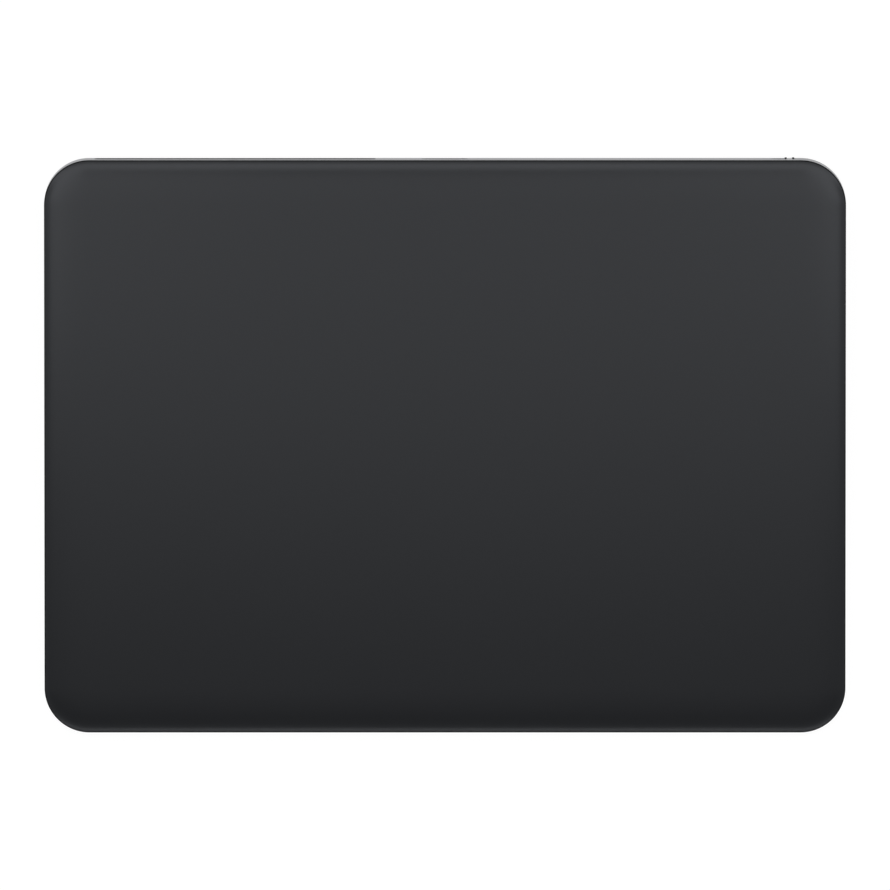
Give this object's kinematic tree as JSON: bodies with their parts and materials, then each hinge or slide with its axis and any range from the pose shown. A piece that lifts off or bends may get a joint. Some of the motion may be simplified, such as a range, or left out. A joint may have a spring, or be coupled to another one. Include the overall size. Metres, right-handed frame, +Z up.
{
  "type": "wireless trackpad",
  "caption": "Flat wedge-shaped wireless trackpad: black glass touch plate that gives when pressed, aluminium case, rear charging port, antenna window and power slider.",
  "frame": {"origin": "on the desk under the middle of the pad, at the bottom of the feet", "axes": "+X to the user's right, +Y away from the user to the rear wall, +Z up from the desk"},
  "size_m": [0.16, 0.1152, 0.011],
  "materials": {
    "black_glass": "satin",
    "bonding_film": "matte",
    "circuit_board": "satin",
    "chip": "matte",
    "plate_steel": "satin",
    "case_aluminium": "satin",
    "foam": "matte",
    "foot_rubber": "matte",
    "spring_steel": "satin",
    "cable_film": "satin",
    "screw_steel": "satin",
    "window_plastic": "satin",
    "lead_sheath": "matte",
    "port_steel": "satin",
    "tongue_plastic": "matte",
    "contact_gold": "satin",
    "switch_plastic": "matte",
    "marker_green": "satin",
    "knob_aluminium": "satin",
    "shield_steel": "satin",
    "plug_plastic": "satin",
    "cell_pouch": "satin",
    "mounting_tape": "matte",
    "haptic_steel": "satin",
    "coil_copper": "satin",
    "mass_metal": "satin",
    "magnet_metal": "gloss"
  },
  "bodies": {
    "case": {"lower_case": "case_aluminium", "dust_seal": "foam", "front_left_foot": "foot_rubber", "front_right_foot": "foot_rubber", "rear_left_foot": "foot_rubber", "rear_right_foot": "foot_rubber", "front_left_flexure": "spring_steel", "front_right_flexure": "spring_steel", "rear_left_flexure": "spring_steel", "rear_right_flexure": "spring_steel", "strain_gauges": "cable_film", "flexure_screws": "screw_steel", "gauge_flex": "cable_film", "antenna_window": "window_plastic", "antenna_board": "circuit_board", "antenna_lead": "lead_sheath", "port_shell": "port_steel", "port_tongue": "tongue_plastic", "port_contacts": "contact_gold", "port_board": "circuit_board", "port_bracket": "port_steel", "port_screws": "screw_steel", "port_lead": "cable_film", "switch_plate": "switch_plastic", "on_marker": "marker_green", "switch_can": "shield_steel", "logic_board": "circuit_board", "board_screws": "screw_steel", "board_chips": "chip", "board_connectors": "plug_plastic", "processor_chip": "chip", "processor_shield": "shield_steel", "radio_chip": "chip", "radio_shield": "shield_steel", "sensor_flex": "cable_film", "battery_cell": "cell_pouch", "battery_tape": "mounting_tape", "battery_board": "circuit_board", "battery_lead": "cable_film", "haptic_housing": "haptic_steel", "haptic_cover": "haptic_steel", "haptic_coil": "coil_copper", "haptic_screws": "screw_steel", "haptic_lead": "cable_film", "left_haptic_spring": "spring_steel", "right_haptic_spring": "spring_steel"},
    "touch_plate": {"touch_glass": "black_glass", "glass_adhesive": "bonding_film", "touch_sensor_board": "circuit_board", "touch_chips": "chip", "stiffener_plate": "plate_steel", "flexure_pads": "plate_steel"},
    "power_slider": {"power_knob": "knob_aluminium", "slider_carrier": "switch_plastic", "switch_toggle": "switch_plastic"},
    "haptic_weight": {"haptic_mass": "mass_metal", "haptic_magnets": "magnet_metal"}
  },
  "joints": [
    {"name": "touch_plate_press", "type": "slide", "parent": "case", "child": "touch_plate", "axis": [0, 0.0539, -0.9985], "range_m": [0, 0.0002], "stiffness_N_per_m": 10000, "springref_m": -0.00025, "deforming": ["front_left_flexure", "front_right_flexure", "rear_left_flexure", "rear_right_flexure", "sensor_flex"]},
    {"name": "power_switch_slide", "type": "slide", "parent": "case", "child": "power_slider", "axis": [-1, 0, 0], "range_m": [0, 0.0023]},
    {"name": "haptic_mass_slide", "type": "slide", "parent": "case", "child": "haptic_weight", "axis": [1, 0, 0], "range_m": [-0.0005, 0.0005], "stiffness_N_per_m": 400, "deforming": ["left_haptic_spring", "right_haptic_spring"]}
  ]
}
